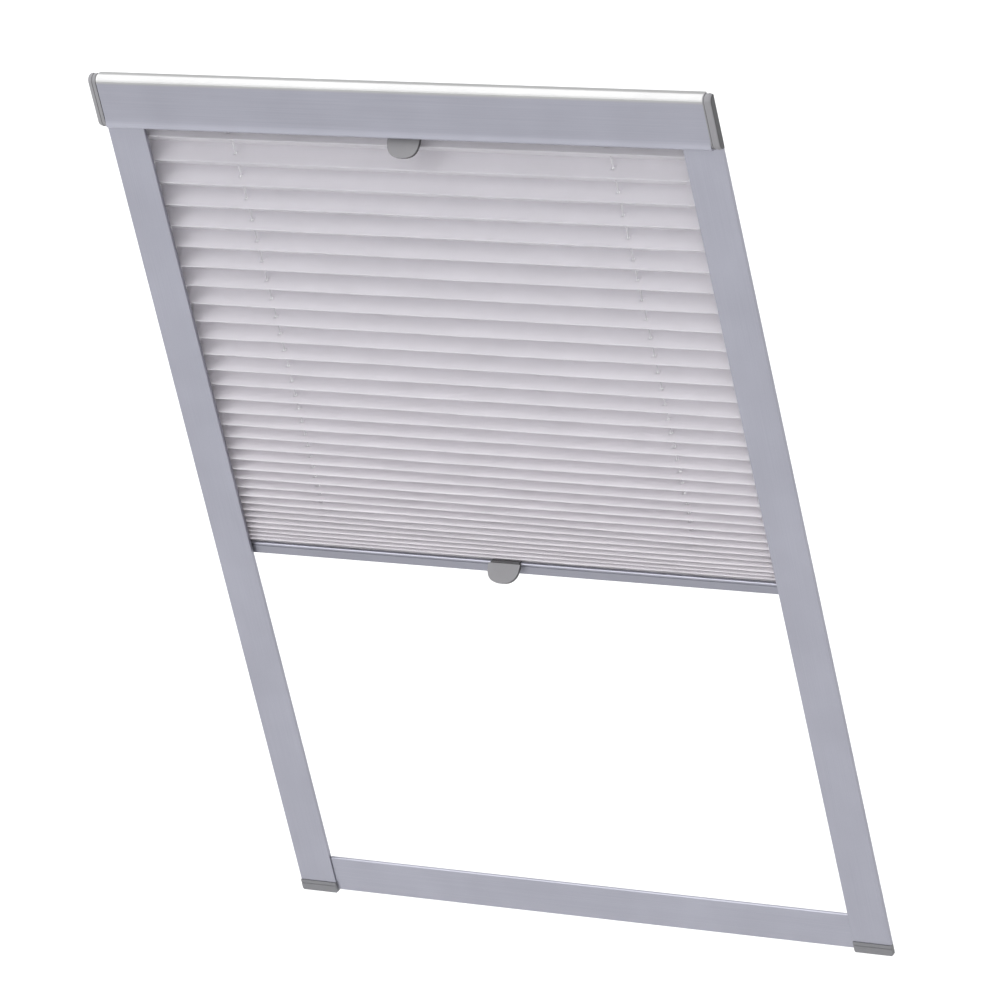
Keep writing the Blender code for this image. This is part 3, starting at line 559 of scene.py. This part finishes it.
def tube(name, path):
    """A round tube along a path in a plane across Y."""
    mesh = bmesh.new()
    rings = []
    side = Vector((0.0, 1.0, 0.0))
    turns = [2 * math.pi * k / CORD_SIDES for k in range(CORD_SIDES)]
    for i, point in enumerate(path):
        before = (point - path[i - 1]).normalized() if i else (path[1] - point).normalized()
        after = (path[i + 1] - point).normalized() if i + 1 < len(path) else before
        across = (before + after).normalized().cross(side)
        spots = [point + CORD_R * (math.cos(t) * side + math.sin(t) * across) for t in turns]
        rings.append([mesh.verts.new(spot) for spot in spots])
    for low, high in zip(rings, rings[1:]):
        for k in range(CORD_SIDES):
            n = (k + 1) % CORD_SIDES
            mesh.faces.new((low[k], low[n], high[n], high[k]))
    mesh.faces.new(rings[0][::-1])
    mesh.faces.new(rings[-1])
    bmesh.ops.recalc_face_normals(mesh, faces=list(mesh.faces))
    for face in mesh.faces:
        face.smooth = len(face.verts) == 4
    return add_object(name, mesh)


def bar_weight(top, turn, bottom):
    """A weight for each height: nought at a stretch's two ends, and one at the height where the cord turns
    into the bar.
    """
    return lambda z: share(z, top, turn + TURN_EASE) if z > turn else share(z, bottom, turn)


UPPER_TURN = UPPER_BAR[1] - CORD_DEPTH
LOWER_TURN = LOWER_BAR[0] + CORD_DEPTH

for label, side in SIDES:
    channel = side * (HALF - CORD_INSET)
    column = side * CORD_X
    upper_route = ((channel, CORD_TOP), (channel, UPPER_TURN), (column, UPPER_TURN), (column, MID))
    lower_route = ((column, MID), (column, LOWER_TURN), (channel, LOWER_TURN), (channel, CORD_FOOT))
    for part, route, turn in (("upper", upper_route, UPPER_TURN), ("lower", lower_route, LOWER_TURN)):
        path = [point + OFFSET for point in rounded([(x, CORD_Y, z) for x, z in route])]
        cord = tube("cord_%s_%s" % (part, label), path)
        cord.data.materials.append(MATERIALS["cord"])
        even_blend(cord, bar_weight(route[0][1], turn, route[-1][1]))
        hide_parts("cord_" + label)


# Stage: a pale floor and an even surround with soft boxes drawn in it
def build_floor():
    reach = FLOOR_REACH
    corners = [(-reach, -reach, 0), (reach, -reach, 0), (reach, reach, 0), (-reach, reach, 0)]
    mesh = bpy.data.meshes.new("floor")
    mesh.from_pydata(corners, [], [(0, 1, 2, 3)])
    mesh.materials.append(paint("floor_paint", 0.86, 0.88))
    made = bpy.data.objects.new("floor", mesh)
    made.location.z = CAD_BOX[0][2] - FLOOR_DROP
    bpy.context.scene.collection.objects.link(made)
    return made


class Sky:
    """An even surround with soft boxes, each drawn by its direction and reach."""

    def __init__(self, base, tint):
        self.world = bpy.data.worlds.new("surround")
        self.world.use_nodes = True
        self.tree = self.world.node_tree
        self.background = self.tree.nodes["Background"]
        self.background.inputs["Color"].default_value = (*tint, 1.0)
        source = self.tree.nodes.new("ShaderNodeTexCoord").outputs["Generated"]
        split = self.tree.nodes.new("ShaderNodeSeparateXYZ")
        self.tree.links.new(source, split.inputs[0])
        self.axes = dict(zip("xyz", split.outputs))
        self.strength = base

    def step(self, value, start, end, low, high):
        node = self.tree.nodes.new("ShaderNodeMapRange")
        node.interpolation_type = "SMOOTHSTEP"
        self.tree.links.new(value, node.inputs["Value"])
        for name, number in zip(("From Min", "From Max", "To Min", "To Max"), (start, end, low, high)):
            node.inputs[name].default_value = number
        return node.outputs[0]

    def join(self, a, b, kind):
        node = self.tree.nodes.new("ShaderNodeMath")
        node.operation = kind
        for socket, value in zip(node.inputs, (a, b)):
            if isinstance(value, bpy.types.NodeSocket):
                self.tree.links.new(value, socket)
            else:
                socket.default_value = value
        return node.outputs[0]

    def box(self, gain, **reach):
        """Each axis is given as (outer low, inner low, inner high, outer high)."""
        shape = gain
        for axis, (a, b, c, d) in reach.items():
            rise = self.step(self.axes[axis], a, b, 0.0, 1.0)
            fall = self.step(self.axes[axis], c, d, 1.0, 0.0)
            shape = self.join(shape, self.join(rise, fall, "MULTIPLY"), "MULTIPLY")
        self.strength = self.join(self.strength, shape, "ADD")

    def done(self):
        self.tree.links.new(self.strength, self.background.inputs["Strength"])
        bpy.context.scene.world = self.world


build_floor()

# A long box overhead on the left, a weak one behind it, and a low wide one at the front right
sky = Sky(0.55, (0.985, 0.99, 1.0))
sky.box(3.05, x=(-0.88, -0.74, -0.34, -0.20), y=(-0.99, -0.90, 0.40, 0.70), z=(0.02, 0.16, 1.1, 1.2))
sky.box(0.5, x=(-0.88, -0.74, -0.34, -0.20), y=(0.40, 0.70, 0.85, 0.95), z=(0.10, 0.25, 1.1, 1.2))
sky.box(1.0, x=(-0.15, 0.15, 0.90, 1.00), y=(-1.20, -1.10, -0.25, 0.05), z=(0.02, 0.12, 0.95, 1.00))
sky.done()
bpy.context.scene.view_settings.view_transform = "Standard"

# Camera at the photograph's angle
lens = bpy.data.cameras.new("camera")
lens.lens = 229.1533
lens.sensor_width = 36.0
lens.clip_end = 200.0
camera = bpy.data.objects.new("camera", lens)
camera.location = (2.94511, -4.02515, 2.79656)
camera.rotation_euler = (1.115246, 0.207969, 0.529729)
bpy.context.scene.collection.objects.link(camera)
bpy.context.scene.camera = camera

bpy.context.view_layer.update()
